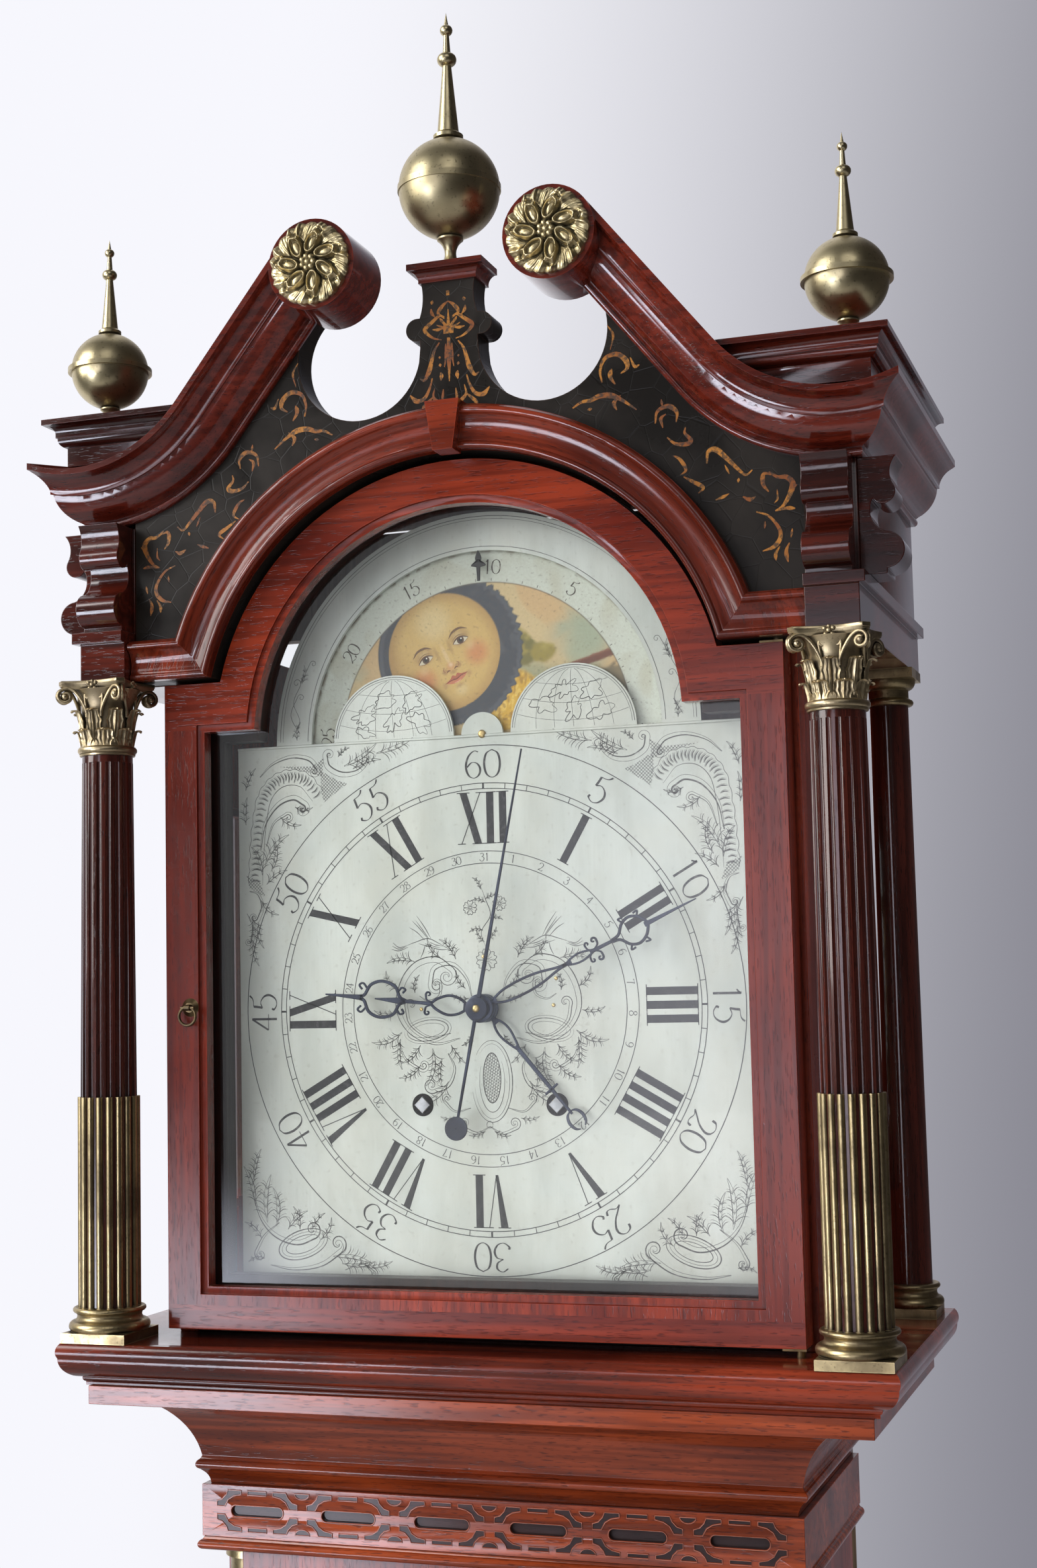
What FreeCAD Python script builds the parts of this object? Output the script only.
"""Longcase (grandfather) clock: case, sliding hood, break-arch moon dial and eight-day movement.

Everything is drawn about the centre of the dial: X to the right, Y to the back (the dial's
front face is Y = 0) and Z up.  save() then sets each node down in the part's own frame,
whose origin is on the floor under the middle of the clock.  All sizes are millimetres.
"""
import FreeCAD, Part
import math
import os

Vector = FreeCAD.Vector
X_AXIS, Y_AXIS, Z_AXIS = Vector(1, 0, 0), Vector(0, 1, 0), Vector(0, 0, 1)

# ---------------------------------------------------------------- driving dimensions
# overall
DIAL_HEIGHT = 1831.0        # floor to the centre of the dial
FLOOR = -DIAL_HEIGHT
BACK = 172.0                # back face of the backboard
BACKBOARD = 13.0            # its thickness
CASE_BACK = BACK - BACKBOARD

# dial: a square plate with a semicircular arch on top
DIAL_HALF = 165.0
DIAL_TOP = 167.0            # top of the square part, and centre of every arch
DIAL_BOTTOM = -165.0
DIAL_ARCH_R = 138.0
DIAL_PLATE = 2.5
MOON_WINDOW_R = 114.0
HEMISPHERE_R = 40.0
HEMISPHERE_X = 58.5
DIAL_BOSS_R = 13.5
WINDING_X, WINDING_Z = 43.0, -58.0
WINDING_HOLE_R = 5.5
CENTRE_HOLE_R = 5.5

# trunk
TRUNK_HALF = 181.0
TRUNK_FRONT = -10.0
TRUNK_BOARD = 18.0
TRUNK_TOP = -318.0          # where the frieze sits on the trunk front
TRUNK_BOTTOM = FLOOR + 560.0
QUARTER_R = 18.0            # quarter columns let into the trunk's front corners
QUARTER_BLOCK = 60.0        # plain corner block under each quarter column
TRUNK_DOOR_HALF = 108.0
TRUNK_DOOR_BOTTOM = TRUNK_BOTTOM + 75.0
TRUNK_DOOR_SPRING = -470.0  # where the arch of the trunk door springs
TRUNK_DOOR_THICK = 20.0
TRUNK_DOOR_LIP = 7.0        # the part of the door that laps over the frame
CHEEK_FRONT, CHEEK_BACK = 22.0, 112.0
CHEEK_BOARD = 16.0

# base
BASE_HALF = 236.0
BASE_FRONT = -59.0
BASE_BOTTOM = FLOOR + 112.0
BASE_TOP = FLOOR + 520.0
BASE_BOARD = 16.0
FOOT_LENGTH = 125.0
FOOT_THICK = 24.0
SKIRTING_HEIGHT = 60.0
SKIRTING_OUT = 11.0

# throat mouldings and blind fret under the hood
FASCIA_HALF = 237.0
FASCIA_FRONT = -59.6
FASCIA_TOP, FASCIA_BOTTOM = -221.0, -232.0
COVE_OUT = 28.0             # how far the cove's top stands out of the trunk fillet
COVE_BOTTOM = -272.0
FRIEZE_TOP = -287.0
FRIEZE_THICK = 6.0

# hood
LEDGE_HALF, LEDGE_FRONT = 253.5, -77.0
LEDGE_TOP, LEDGE_BOTTOM = -195.0, -221.0
HOOD_WELL_HALF = 188.0      # inside the hood, between its side boards
HOOD_BOARD = 12.0
HOOD_SIDE_HALF = HOOD_WELL_HALF + HOOD_BOARD
HOOD_BACK = CASE_BACK - 0.5
DOOR_HALF = 196.5
DOOR_FRONT, DOOR_BACK = -40.0, -20.0
DOOR_BOTTOM = -190.0
DOOR_SHOULDER = 204.5       # top of the door's square shoulders
DOOR_ARCH_R = 162.4         # clears the arch moulding as the door swings
SIGHT_HALF = 170.0          # glass seen inside the door's bead
SIGHT_BOTTOM, SIGHT_SHOULDER = -164.5, 174.0
SIGHT_ARCH_R = 136.0
BEAD = 4.5
GLASS = 2.5
MASK_FRONT, MASK_BACK = -16.5, -3.0
MASK_GAP = 2.5              # how far the mask's opening stands outside the dial

# front and rear columns
COLUMN_X, COLUMN_Y = 229.0, -54.0
REAR_COLUMN_Y = 128.0
PLINTH_TOP = -189.2
SHAFT_BOTTOM, SHAFT_TOP = -175.0, 162.0
CAPITAL_TOP = 206.5
SHAFT_R, SHAFT_TOP_R = 17.0, 15.6
FLUTES = 18
FLUTE_R = 2.2
CABLE_TOP = -49.0           # brass rods fill the flutes below this height
CABLE_CLEAR = 0.1

# entablature, pediment and cornices
BLOCK_HALF = 15.5
BLOCK_FRONT = -60.0
ENTABLATURE_TOP = 238.0
CORNICE_BOTTOM, CORNICE_TOP = 305.0, 346.3
CORNICE_OUT = 30.0
FRIEZE_HALF = 243.0
PEDIMENT_FRONT, PEDIMENT_BACK = -46.0, -26.0
ARCHITRAVE_IN, ARCHITRAVE_OUT = 166.0, 192.0
ARCHITRAVE_FOOT, ARCHITRAVE_FOOT_TOP = 207.0, 231.5
PANEL_HALF = 213.0          # painted tympanum panel
CUTOUT_X, CUTOUT_Z, CUTOUT_R = 59.0, 398.5, 40.5
SWAN_X, SWAN_Z = 240.0, 430.0       # centre of each swan neck's lower sweep
SWAN_R_TOP, SWAN_WIDTH = 90.0, 35.0
ROUNDEL_X, ROUNDEL_Z, ROUNDEL_R = 75.0, 447.5, 28.0
ROUNDEL_FRONT, ROUNDEL_BACK = -80.0, -37.0
ROSETTE_R, ROSETTE_THICK = 25.5, 8.0
PLINTH_BOX_HALF = 255.0
PLINTH_BOX_INNER = 150.0
PLINTH_BOX_FRONT = -57.0
PLINTH_BOX_TOP = 375.0
PEDESTAL_TOP, PEDESTAL_CAP_TOP = 438.0, 449.0
ROOF_BOTTOM = 334.0

# movement
PLATE_HALF, PLATE_BOTTOM, PLATE_TOP = 75.0, -98.0, 78.0
FRONT_PLATE, BACK_PLATE, PLATE = 42.0, 105.0, 3.0
SEAT_BOARD = 18.0
BARREL_R, FLANGE_R = 18.5, 24.0
BARREL_FRONT, BARREL_BACK = 54.0, 96.0
REAR_WHEEL_Y = 99.0         # front face of the wheels that run behind the barrels
GUT_R = 0.9
PULLEY_R = 22.0
WEIGHT_R, WEIGHT_HEIGHT = 30.0, 200.0
WEIGHT_Y = 75.0
PULLEY_Z = -1230.0          # pulley centres when the clock has run down
PENDULUM_Y = 122.0
ANCHOR_Z = 30.0
PENDULUM_LENGTH = 994.0
BOB_R, BOB_THICK = 52.0, 24.0
RUNNING = 0.05              # radial clearance of every arbor in its hole

# gear teeth and modules of the going and striking trains
GREAT_TEETH, CENTRE_PINION, GREAT_MODULE = 96, 8, 0.75
CENTRE_TEETH, THIRD_PINION, CENTRE_MODULE = 60, 8, 0.85
THIRD_TEETH, ESCAPE_PINION, THIRD_MODULE = 56, 7, 0.7
MOTION_TEETH, MOTION_MODULE = 40, 0.75
MINUTE_PINION, HOUR_TEETH, HOUR_MODULE = 7, 84, 0.6593
PIN_WHEEL_TEETH, PIN_WHEEL_MODULE = 56, 0.7

# reach of the foremost point (the rosettes' relief) sets the middle of the part's depth
FOREMOST = ROUNDEL_FRONT - ROSETTE_THICK
SHIFT = Vector(0, -(FOREMOST + BACK) / 2, DIAL_HEIGHT)


# ---------------------------------------------------------------- shape helpers
def save(name, *shapes):
    """Write one node: its solids, set down in the part's frame."""
    solids = []
    for shape in shapes:
        solids += shape.Solids
    placed = Part.makeCompound(solids)
    placed.translate(SHIFT)
    shape = placed.Solids[0] if len(solids) == 1 else placed
    shape.exportStep("parts/" + name + ".step")


def box(x0, x1, y0, y1, z0, z1):
    return Part.makeBox(x1 - x0, y1 - y0, z1 - z0, Vector(x0, y0, z0))


def rod_y(x, z, r, y0, y1):
    """Round bar along Y."""
    return Part.makeCylinder(r, y1 - y0, Vector(x, y0, z), Y_AXIS)


def rod_z(x, y, r, z0, z1):
    """Round bar along Z."""
    return Part.makeCylinder(r, z1 - z0, Vector(x, y, z0), Z_AXIS)


def rod_x(y, z, r, x0, x1):
    """Round bar along X."""
    return Part.makeCylinder(r, x1 - x0, Vector(x0, y, z), X_AXIS)


def outline(start, *steps):
    """Closed 2-D outline: each step is an end point, or (middle, end) of an arc."""
    edges = []
    here = start
    for step in list(steps) + [start]:
        if isinstance(step[0], tuple):
            edges.append(("arc", here, step[0], step[1]))
            here = step[1]
        elif math.hypot(step[0] - here[0], step[1] - here[1]) > 1e-6:
            edges.append(("line", here, step))
            here = step
    return edges


def face(edges, place):
    """Face of a 2-D outline, with place(a, b) giving each point's Vector."""
    made = []
    for edge in edges:
        points = [place(*point) for point in edge[1:]]
        if edge[0] == "arc":
            made.append(Part.Arc(*points).toShape())
        else:
            made.append(Part.LineSegment(*points).toShape())
    return Part.Face(Part.Wire(made))


def plate_y(edges, y0, y1):
    """Outline in X and Z, from y0 to y1."""
    return face(edges, lambda a, b: Vector(a, y0, b)).extrude(Vector(0, y1 - y0, 0))


def bar_x(edges, x0, x1):
    """Section in Y and Z, from x0 to x1."""
    return face(edges, lambda a, b: Vector(x0, a, b)).extrude(Vector(x1 - x0, 0, 0))


def bar_z(edges, z0, z1):
    """Plan in X and Y, from z0 to z1."""
    return face(edges, lambda a, b: Vector(a, b, z0)).extrude(Vector(0, 0, z1 - z0))


def turned(edges, x, y):
    """Section in radius and Z, turned about the upright axis at x, y."""
    return face(edges, lambda a, b: Vector(x + a, y, b)).revolve(Vector(x, y, 0), Z_AXIS, 360)


def turned_y(edges, x, z):
    """Section in radius and Y, turned about the axis along Y at x, z."""
    return face(edges, lambda a, b: Vector(x + a, b, z)).revolve(Vector(x, 0, z), Y_AXIS, 360)


def mirrored(shape):
    """The same piece on the other side of the clock."""
    return shape.mirror(Vector(0, 0, 0), X_AXIS)


def both(shape):
    return [shape, mirrored(shape)]


def fuse(first, *others):
    return first.multiFuse(list(others)).removeSplitter()


def three_sides(edges, half, front, back):
    """Moulding mitred round the front and both sides; its section is (out, Z)."""
    span = 400.0
    run = face(edges, lambda a, b: Vector(-span, front - a, b)).extrude(Vector(2 * span, 0, 0))
    wedge = bar_z(outline((-half - span, front - span), (half + span, front - span),
                          (half - span / 4, front + span / 4), (span / 4 - half, front + span / 4)),
                  -3000, 3000)
    side_run = face(edges, lambda a, b: Vector(half + a, front - span, b))
    side_run = side_run.extrude(Vector(0, back - front + span, 0))
    side_wedge = bar_z(outline((half + span, front - span), (half + span, back),
                               (half - span / 4, back), (half - span / 4, front + span / 4)),
                       -3000, 3000)
    side = side_run.common(side_wedge)
    return fuse(run.common(wedge), side, mirrored(side))


def arched(half, bottom, shoulder, radius, y0, y1):
    """Break-arch board: a rectangle with a semicircle about DIAL_TOP rising out of its top."""
    shape = box(-half, half, y0, y1, bottom, shoulder)
    disc = rod_y(0, DIAL_TOP, radius, y0, y1)
    above = box(-radius, radius, y0, y1, shoulder - 1.0, DIAL_TOP + radius)
    return fuse(shape, disc.common(above))


# ---------------------------------------------------------------- base and trunk
def backboard():
    board = box(-TRUNK_HALF, TRUNK_HALF, CASE_BACK, BACK, BASE_TOP, LEDGE_TOP)
    upper = box(-BACKBOARD_EAR, BACKBOARD_EAR, CASE_BACK, BACK, LEDGE_TOP, BACKBOARD_END)
    ears = box(-BACKBOARD_TOP, BACKBOARD_TOP, CASE_BACK, BACK, ENTABLATURE_TOP + 24, BACKBOARD_END)
    board = fuse(board, upper, ears)
    lower = box(-BASE_HALF, BASE_HALF, CASE_BACK, BACK, BASE_BOTTOM, BASE_TOP)
    screw_hole = rod_y(0, WALL_SCREW_Z, WALL_SCREW_R, CASE_BACK - 1, BACK + 1)
    save("backboard", fuse(board, lower).cut(screw_hole))


BACKBOARD_EAR = 184.0         # half width of the backboard behind the hood's sides
BACKBOARD_TOP = FRIEZE_HALF - HOOD_BOARD - 2      # and behind the friezes above them
BACKBOARD_END = ROOF_BOTTOM - 0.8                 # top of the backboard, clear under the sliding roof
WALL_SCREW_Z = 240.0
WALL_SCREW_R = 3.0


def base_carcass():
    """Front and side boards, a bottom board, and a fielded panel planted on the front."""
    outer = box(-BASE_HALF, BASE_HALF, BASE_FRONT, CASE_BACK, BASE_BOTTOM, BASE_TOP)
    inner = box(-BASE_HALF + BASE_BOARD, BASE_HALF - BASE_BOARD, BASE_FRONT + BASE_BOARD,
                CASE_BACK + 1, BASE_BOTTOM + BASE_BOARD, BASE_TOP + 1)
    margin = 55.0
    bevel = 14.0
    low, high = BASE_BOTTOM + SKIRTING_HEIGHT + margin - 20, BASE_TOP - margin
    half = BASE_HALF - margin
    panel = box(-half, half, BASE_FRONT - 4, BASE_FRONT, low, high)
    field = box(-half + bevel, half - bevel, BASE_FRONT - 9, BASE_FRONT - 4, low + bevel, high - bevel)
    field = field.makeChamfer(4.0, [e for e in field.Edges
                                    if abs(e.CenterOfMass.y - (BASE_FRONT - 9)) < 0.01])
    save("base_carcass", outer.cut(inner), fuse(panel, field))


def bracket_feet():
    """Two ogee bracket feet in front and two plain-backed ones behind, each mitred of two boards."""
    out = SKIRTING_OUT + 2
    top = BASE_BOTTOM
    ogee = outline((out - FOOT_THICK, FLOOR), (out + 2, FLOOR),
                   ((out + 3, FLOOR + 14), (out - 1, FLOOR + 26)),
                   ((out - 6, FLOOR + 44), (out - 4, FLOOR + 62)),
                   ((out + 5, FLOOR + 88), (out, top)), (out - FOOT_THICK, top))
    whole = three_sides(ogee, BASE_HALF, BASE_FRONT, CASE_BACK)
    reach = BASE_HALF + out + 5
    cut_radius = 40.0
    inside = reach - FOOT_LENGTH
    depth_gap = (BASE_FRONT - out + FOOT_LENGTH - 20, CASE_BACK - FOOT_LENGTH + 40)
    front_gap = box(-inside, inside, -200, 300, FLOOR - 1, top - 22)
    side_gap = box(-300, 300, depth_gap[0], depth_gap[1], FLOOR - 1, top - 22)
    curve = rod_y(inside, FLOOR + 20, cut_radius, -200, 300)
    above = box(-300, 300, -200, 300, FLOOR + 24, top - 22)
    bracket = curve.common(above)
    feet = whole.cut(front_gap).cut(side_gap).cut(bracket).cut(mirrored(bracket))
    save("bracket_feet", feet)


def base_mouldings():
    """Skirting round the foot of the base, and the cove that steps the base in to the trunk."""
    low, high, out = BASE_BOTTOM, BASE_BOTTOM + SKIRTING_HEIGHT, SKIRTING_OUT
    edges = outline((0, low), (out, low), (out, high - 16), (out - 2, high - 15),
                    ((out - 5, high - 7), (2, high - 3)), (2, high), (0, high))
    skirting = three_sides(edges, BASE_HALF, BASE_FRONT, CASE_BACK)
    out = BASE_HALF - TRUNK_HALF
    low, high = BASE_TOP, TRUNK_BOTTOM + 12
    edges = outline((0, low), (out + 8, low), (out + 8, low + 4),
                    ((out + 5, low + 10), (out - 2, low + 12)), (out - 2, low + 15),
                    ((out - 28, low + 24), (8, high - 7)), (8, high - 5),
                    ((6.5, high - 1.5), (3, high)), (0, high))
    save("base_mouldings", skirting, three_sides(edges, TRUNK_HALF, TRUNK_FRONT, CASE_BACK))


def trunk_door_edges(half, bottom, grow):
    """Outline of the trunk door and of its opening: a rectangle with a break-arch top."""
    spring = TRUNK_DOOR_SPRING
    shoulder = 20.0
    arch = half - shoulder
    return outline((-half, bottom - grow), (half, bottom - grow), (half, spring),
                   (arch, spring), ((0, spring + arch + grow), (-arch, spring)), (-half, spring))


def trunk_carcass():
    """Two side boards, a front frame with the door's opening, and the cheeks for the seat board."""
    frame = box(-TRUNK_HALF + QUARTER_R, TRUNK_HALF - QUARTER_R, TRUNK_FRONT,
                TRUNK_FRONT + TRUNK_BOARD, TRUNK_BOTTOM - 40, FASCIA_TOP - 14)
    opening = plate_y(trunk_door_edges(TRUNK_DOOR_HALF - 6, TRUNK_DOOR_BOTTOM + 6, 0),
                      TRUNK_FRONT - 1, TRUNK_FRONT + TRUNK_BOARD + 1)
    side_front = TRUNK_FRONT + QUARTER_R
    side = box(TRUNK_HALF - TRUNK_BOARD, TRUNK_HALF, side_front, CASE_BACK, TRUNK_BOTTOM - 40, FASCIA_TOP)
    cheek = box(TRUNK_HALF - TRUNK_BOARD, TRUNK_HALF - TRUNK_BOARD + CHEEK_BOARD, CHEEK_FRONT,
                CHEEK_BACK, FASCIA_TOP, PLATE_BOTTOM - SEAT_BOARD)
    block = box(TRUNK_HALF - QUARTER_R, TRUNK_HALF, TRUNK_FRONT, side_front,
                TRUNK_BOTTOM - 40, TRUNK_BOTTOM + QUARTER_BLOCK)
    top_block = box(TRUNK_HALF - QUARTER_R, TRUNK_HALF, TRUNK_FRONT, side_front, TRUNK_TOP, FASCIA_TOP - 14)
    corner = box(TRUNK_HALF - QUARTER_R - GLUE_BLOCK, TRUNK_HALF - QUARTER_R, side_front, side_front + GLUE_BLOCK,
                 TRUNK_BOTTOM - 40, FASCIA_TOP - 14)
    side = fuse(side, cheek, block, top_block, corner)
    save("trunk_carcass", fuse(frame.cut(opening), side, mirrored(side)))


def quarter_column(radius, low, high):
    """A quarter of a round column standing in the trunk's front right corner."""
    x, y = TRUNK_HALF - QUARTER_R, TRUNK_FRONT + QUARTER_R
    corner = box(x, x + radius, y - radius, y, low, high)
    return rod_z(x, y, radius, low, high).common(corner)


GLUE_BLOCK = 12.0
CAPITAL_HEIGHT = 40.0
QUARTER_BASE = 18.0


def quarter_columns():
    low = TRUNK_BOTTOM + QUARTER_BLOCK
    high = TRUNK_TOP - 8
    shaft = quarter_column(QUARTER_R - 3.5, low + QUARTER_BASE, high - CAPITAL_HEIGHT)
    x, y = TRUNK_HALF - QUARTER_R, TRUNK_FRONT + QUARTER_R
    count = 5
    for index in range(count):
        angle = math.radians(9 + 18 * index)
        reach = QUARTER_R - 3.0
        flute = rod_z(x + reach * math.cos(angle), y - reach * math.sin(angle), 1.7,
                      low + QUARTER_BASE + 6, high - CAPITAL_HEIGHT - 6)
        shaft = shaft.cut(flute)
    save("trunk_quarter_columns", *both(shaft))
    foot = fuse(quarter_column(QUARTER_R, low, low + 5),
                quarter_column(QUARTER_R - 1.5, low + 5, low + QUARTER_BASE - 4),
                quarter_column(QUARTER_R - 3, low + QUARTER_BASE - 4, low + QUARTER_BASE))
    capital_low = high - CAPITAL_HEIGHT
    capital = fuse(quarter_column(QUARTER_R - 2.5, capital_low, capital_low + 4),
                   quarter_column(QUARTER_R - 3, capital_low + 4, high - 6),
                   quarter_column(QUARTER_R, high - 6, high))
    save("trunk_brasses", *(both(foot) + both(capital) + trunk_hinges()[1]))


def throat_moulding():
    """Fascia, great cove and fillets between the trunk's frieze and the hood's ledge."""
    side = FASCIA_HALF - TRUNK_HALF
    shelf = side - 22
    edges = outline((0, FASCIA_TOP), (0, FRIEZE_TOP), (2, FRIEZE_TOP),
                    ((3.5, FRIEZE_TOP + 5), (6, FRIEZE_TOP + 8)), (7, FRIEZE_TOP + 9),
                    ((9.2, COVE_BOTTOM - 3), (7, COVE_BOTTOM)), (6, COVE_BOTTOM + 2),
                    ((14, COVE_BOTTOM + 22), (shelf, FASCIA_BOTTOM)), (side, FASCIA_BOTTOM),
                    (side, FASCIA_TOP))
    moulding = three_sides(edges, TRUNK_HALF, TRUNK_FRONT, CASE_BACK)
    bead_low = TRUNK_TOP - 8
    bead = outline((0, bead_low), (6, bead_low), ((8.5, bead_low + 3), (6, bead_low + 6)),
                   (5, TRUNK_TOP), (0, TRUNK_TOP))
    save("throat_moulding", moulding, three_sides(bead, TRUNK_HALF, TRUNK_FRONT, CASE_BACK))


def fret_frieze():
    """Board planted under the throat, with its blind fret sunk as six long cartouches."""
    board = three_sides(outline((0, TRUNK_TOP), (FRIEZE_THICK, TRUNK_TOP),
                                (FRIEZE_THICK, FRIEZE_TOP), (0, FRIEZE_TOP)),
                        TRUNK_HALF, TRUNK_FRONT, CASE_BACK)
    count, pitch, length, height, sink = 6, 60.0, 28.0, 7.0, 2.0
    middle = (TRUNK_TOP + FRIEZE_TOP) / 2
    front = TRUNK_FRONT - FRIEZE_THICK
    for index in range(count):
        x = (index - (count - 1) / 2) * pitch
        cut = fuse(box(x - length / 2, x + length / 2, front - 1, front + sink,
                       middle - height / 2, middle + height / 2),
                   rod_y(x - length / 2, middle, height / 2, front - 1, front + sink),
                   rod_y(x + length / 2, middle, height / 2, front - 1, front + sink))
        board = board.cut(cut)
    save("fret_frieze", board)


def trunk_door():
    """Arched door lipped over the opening, its lock plate, and its pair of hinges on the right."""
    front = TRUNK_FRONT - TRUNK_DOOR_LIP
    lip = plate_y(trunk_door_edges(TRUNK_DOOR_HALF, TRUNK_DOOR_BOTTOM, 0), front, TRUNK_FRONT - 0.3)
    tongue = plate_y(trunk_door_edges(TRUNK_DOOR_HALF - 7, TRUNK_DOOR_BOTTOM + 7, 0),
                     TRUNK_FRONT - 0.3, TRUNK_FRONT + TRUNK_DOOR_THICK - TRUNK_DOOR_LIP)
    door = fuse(lip, tongue)
    plate = turned_y(outline((0, front - 1.6), (9, front - 1.6), (11, front), (0, front)),
                     -TRUNK_DOOR_HALF + 16, TRUNK_DOOR_LOCK_Z)
    key = rod_y(-TRUNK_DOOR_HALF + 16, TRUNK_DOOR_LOCK_Z, 2.2, front - 3, front + 8)
    save("trunk_door", door.cut(key))
    save("trunk_door_brasses", plate.cut(key), *trunk_hinges()[0])


def trunk_hinges():
    """Two butt hinges: the door's leaves with their knuckles, and the case's leaves with the pins."""
    front = TRUNK_FRONT - TRUNK_DOOR_LIP
    knuckle_x, knuckle_y = TRUNK_DOOR_HALF + 3.7, front - 0.5
    door_leaves = []
    case_leaves = []
    for z in (TRUNK_DOOR_BOTTOM + 90, TRUNK_DOOR_SPRING - 90):
        leaf = box(TRUNK_DOOR_HALF - 22, TRUNK_DOOR_HALF - 0.5, front - 1.5, front, z - 22, z + 22)
        bridge = box(TRUNK_DOOR_HALF - 0.5, knuckle_x - 2, front - 1.5, front, z - 10, z + 10)
        knuckle = rod_z(knuckle_x, knuckle_y, 3.2, z - 10, z + 10)
        hole = rod_z(knuckle_x, knuckle_y, 1.6 + RUNNING, z - 23, z + 23)
        door_leaves.append(fuse(leaf, bridge, knuckle).cut(hole))
        case_leaf = box(knuckle_x + 1.5, knuckle_x + 24, TRUNK_FRONT - 1.5, TRUNK_FRONT, z - 22, z + 22)
        for low, high in ((z - 22, z - 10.2), (z + 10.2, z + 22)):
            link = box(knuckle_x - 0.5, knuckle_x + 3, knuckle_y, TRUNK_FRONT, low, high)
            case_leaf = fuse(case_leaf, link, rod_z(knuckle_x, knuckle_y, 3.2, low, high))
        case_leaves.append(fuse(case_leaf, rod_z(knuckle_x, knuckle_y, 1.6, z - 22, z + 22)))
    return door_leaves, case_leaves


TRUNK_DOOR_LOCK_Z = (TRUNK_DOOR_BOTTOM + TRUNK_DOOR_SPRING) / 2


# ---------------------------------------------------------------- hood
def hood_base():
    """Ledge under the columns: a moulded frame open at the back so that the hood slides off."""
    low, high = LEDGE_BOTTOM, LEDGE_TOP
    rail = LEDGE_HALF - HOOD_WELL_HALF
    edges = outline((-rail, low), (-13.5, low), (-13.5, low + 2), ((-12, low + 3.5), (-12, low + 5)),
                    ((-4, low + 9), (-1, low + 17)), ((0, low + 21.5), (-2.5, high)), (-rail, high))
    save("hood_base", pivot_holes(three_sides(edges, LEDGE_HALF, LEDGE_FRONT, HOOD_BACK)))


WINDOW = (14.0, 118.0, -120.0, 128.0)   # Y and Z limits of the hood's side windows


def hood_sides():
    y0, y1, z0, z1 = WINDOW
    side = box(HOOD_WELL_HALF, HOOD_SIDE_HALF, DOOR_BACK + 2, HOOD_BACK, LEDGE_TOP, ENTABLATURE_TOP)
    rebate = 4.0
    side = side.cut(box(HOOD_WELL_HALF - 1, HOOD_SIDE_HALF + 1, y0, y1, z0, z1))
    side = side.cut(box(HOOD_WELL_HALF - 1, HOOD_WELL_HALF + rebate, y0 - 5, y1 + 5, z0 - 5, z1 + 5))
    glass = box(HOOD_WELL_HALF + rebate - GLASS, HOOD_WELL_HALF + rebate, y0 - 4.8, y1 + 4.8,
                z0 - 5, z1 + 4.8)
    save("hood_sides", *both(side))
    save("hood_side_glasses", *both(glass))


def dial_mask():
    """Frame behind the door, opened just clear of the dial."""
    frame = arched(HOOD_WELL_HALF, LEDGE_TOP, 196.0, DIAL_ARCH_R + 26, MASK_FRONT, MASK_BACK)
    opening = arched(DIAL_HALF + MASK_GAP, DIAL_BOTTOM + 5, DIAL_TOP + MASK_GAP, DIAL_ARCH_R + 2 * MASK_GAP,
                     MASK_FRONT - 1, MASK_BACK + 1)
    save("dial_mask", frame.cut(opening))


def column_shafts():
    shaft = turned(outline((0, SHAFT_BOTTOM), (SHAFT_R, SHAFT_BOTTOM), (SHAFT_R, CABLE_TOP),
                           (SHAFT_TOP_R, SHAFT_TOP), (0, SHAFT_TOP)), COLUMN_X, COLUMN_Y)
    rods = []
    for index in range(FLUTES):
        angle = 2 * math.pi * index / FLUTES
        x = COLUMN_X + SHAFT_R * math.cos(angle)
        y = COLUMN_Y + SHAFT_R * math.sin(angle)
        shaft = shaft.cut(rod_z(x, y, FLUTE_R, SHAFT_BOTTOM - 1, SHAFT_TOP - 6))
        rods.append(rod_z(x, y, FLUTE_R - CABLE_CLEAR, SHAFT_BOTTOM, CABLE_TOP))
    rear = turned(outline((0, SHAFT_BOTTOM), (13.5, SHAFT_BOTTOM), (12.2, SHAFT_TOP + 22), (0, SHAFT_TOP + 22)),
                  COLUMN_X, REAR_COLUMN_Y)
    save("column_shafts", *(both(shaft) + both(rear)))
    return rods


def column_brasses():
    """Attic bases, rear capitals, and the rods that fill the lower part of the front flutes."""
    rods = column_shafts()
    z = PLINTH_TOP
    bases = []
    for y, scale in ((COLUMN_Y, 1.0), (REAR_COLUMN_Y, 0.82)):
        half = 21.5 * scale
        plinth = box(COLUMN_X - half, COLUMN_X + half, y - half, y + half, LEDGE_TOP, z)
        rings = turned(outline((0, z), (22.5 * scale, z),
                               ((24.5 * scale, z + 3), (22.5 * scale, z + 6)), (21 * scale, z + 6.5),
                               ((19.5 * scale, z + 8.5), (20.5 * scale, z + 11)),
                               ((22 * scale, z + 12.3), (20.5 * scale, SHAFT_BOTTOM)), (0, SHAFT_BOTTOM)),
                       COLUMN_X, y)
        bases += both(fuse(plinth, rings))
    save("column_brasses", *(bases + rear_capitals() + rods + [mirrored(rod) for rod in rods]))


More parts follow.
